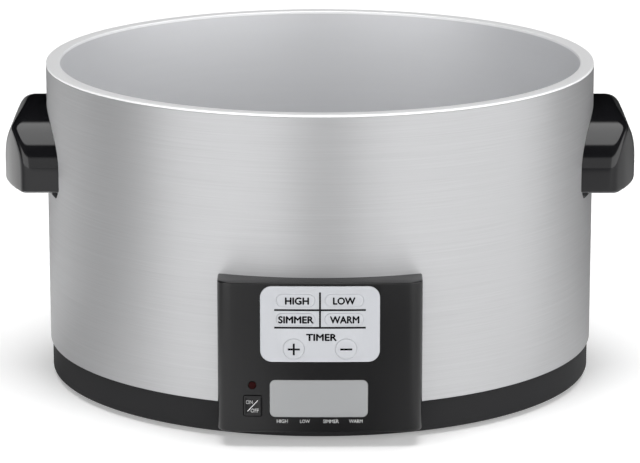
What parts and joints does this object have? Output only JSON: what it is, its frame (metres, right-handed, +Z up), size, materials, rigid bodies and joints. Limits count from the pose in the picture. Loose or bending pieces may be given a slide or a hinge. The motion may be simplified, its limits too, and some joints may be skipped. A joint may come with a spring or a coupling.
{
  "type": "slow cooker heating base",
  "caption": "Round steel-wrapped heating base of a slow cooker: open pot well with a rolled rim, side handles and a front panel of sprung keys.",
  "frame": {"origin": "middle of the overall box on the surface the feet stand on", "axes": "+Z up out of the well, -Y out of the control panel, +X towards the handle at the right of someone facing the panel"},
  "size_m": [0.289, 0.2599, 0.1445],
  "materials": {
    "brushed_wrap": "horizontal brushed grain, satin",
    "well": "smooth satin",
    "black_satin": "fine satin",
    "black_gloss": "gloss",
    "silver_plastic": "silver lacquer, satin",
    "lens": "clear window over a grey unlit display",
    "led_red": "dark red, unlit",
    "rubber_foot": "matt",
    "zinc_steel": "zinc plated",
    "circuit_board": "solder mask",
    "component": "moulded",
    "mica": "mica sheet heater",
    "lead_cover": "silicone and glass braid cover"
  },
  "bodies": {
    "base": {"outer_wrap": "brushed_wrap", "liner": "well", "base_pan": "black_satin", "control_housing": "black_satin", "handle_left": "black_gloss", "handle_right": "black_gloss", "keypad_plate": "silver_plastic", "display_window": "lens", "lcd_module": "lens", "indicator_led": "led_red", "foot_1": "rubber_foot", "foot_2": "rubber_foot", "foot_3": "rubber_foot", "foot_4": "rubber_foot", "cord_gland": "rubber_foot", "foot_screw_1": "zinc_steel", "foot_screw_2": "zinc_steel", "foot_screw_3": "zinc_steel", "foot_screw_4": "zinc_steel", "handle_screw_1": "zinc_steel", "handle_screw_2": "zinc_steel", "handle_screw_3": "zinc_steel", "handle_screw_4": "zinc_steel", "handle_bracket_left": "zinc_steel", "handle_bracket_right": "zinc_steel", "band_hoop": "zinc_steel", "heat_shield": "zinc_steel", "liner_stud": "zinc_steel", "shield_spacer": "zinc_steel", "stud_washer": "zinc_steel", "stud_nut": "zinc_steel", "sensor_clip": "zinc_steel", "control_board": "circuit_board", "power_board": "circuit_board", "switch_high": "component", "switch_low": "component", "switch_simmer": "component", "switch_warm": "component", "switch_plus": "component", "switch_minus": "component", "switch_power": "component", "relay": "component", "temperature_sensor": "component", "transformer": "component", "terminal_block": "component", "heater_band": "mica", "heater_lead_left": "lead_cover", "heater_lead_right": "lead_cover", "sensor_lead": "lead_cover", "ribbon_cable": "lead_cover", "thermal_fuse": "lead_cover"},
    "key_high": {"key_high": "silver_plastic"},
    "key_low": {"key_low": "silver_plastic"},
    "key_simmer": {"key_simmer": "silver_plastic"},
    "key_warm": {"key_warm": "silver_plastic"},
    "key_plus": {"key_plus": "silver_plastic"},
    "key_minus": {"key_minus": "silver_plastic"},
    "power_button": {"power_button": "black_satin"}
  },
  "joints": [
    {"name": "press_high", "type": "slide", "parent": "base", "child": "key_high", "axis": [0, 1, 0], "range_m": [0, 0.0005], "stiffness_N_per_m": 800, "springref_m": -0.001},
    {"name": "press_low", "type": "slide", "parent": "base", "child": "key_low", "axis": [0, 1, 0], "range_m": [0, 0.0005], "stiffness_N_per_m": 800, "springref_m": -0.001},
    {"name": "press_simmer", "type": "slide", "parent": "base", "child": "key_simmer", "axis": [0, 1, 0], "range_m": [0, 0.0005], "stiffness_N_per_m": 800, "springref_m": -0.001},
    {"name": "press_warm", "type": "slide", "parent": "base", "child": "key_warm", "axis": [0, 1, 0], "range_m": [0, 0.0005], "stiffness_N_per_m": 800, "springref_m": -0.001},
    {"name": "press_plus", "type": "slide", "parent": "base", "child": "key_plus", "axis": [0, 1, 0], "range_m": [0, 0.0005], "stiffness_N_per_m": 800, "springref_m": -0.001},
    {"name": "press_minus", "type": "slide", "parent": "base", "child": "key_minus", "axis": [0, 1, 0], "range_m": [0, 0.0005], "stiffness_N_per_m": 800, "springref_m": -0.001},
    {"name": "press_power", "type": "slide", "parent": "base", "child": "power_button", "axis": [0, 1, 0], "range_m": [0, 0.0005], "stiffness_N_per_m": 800, "springref_m": -0.001}
  ]
}
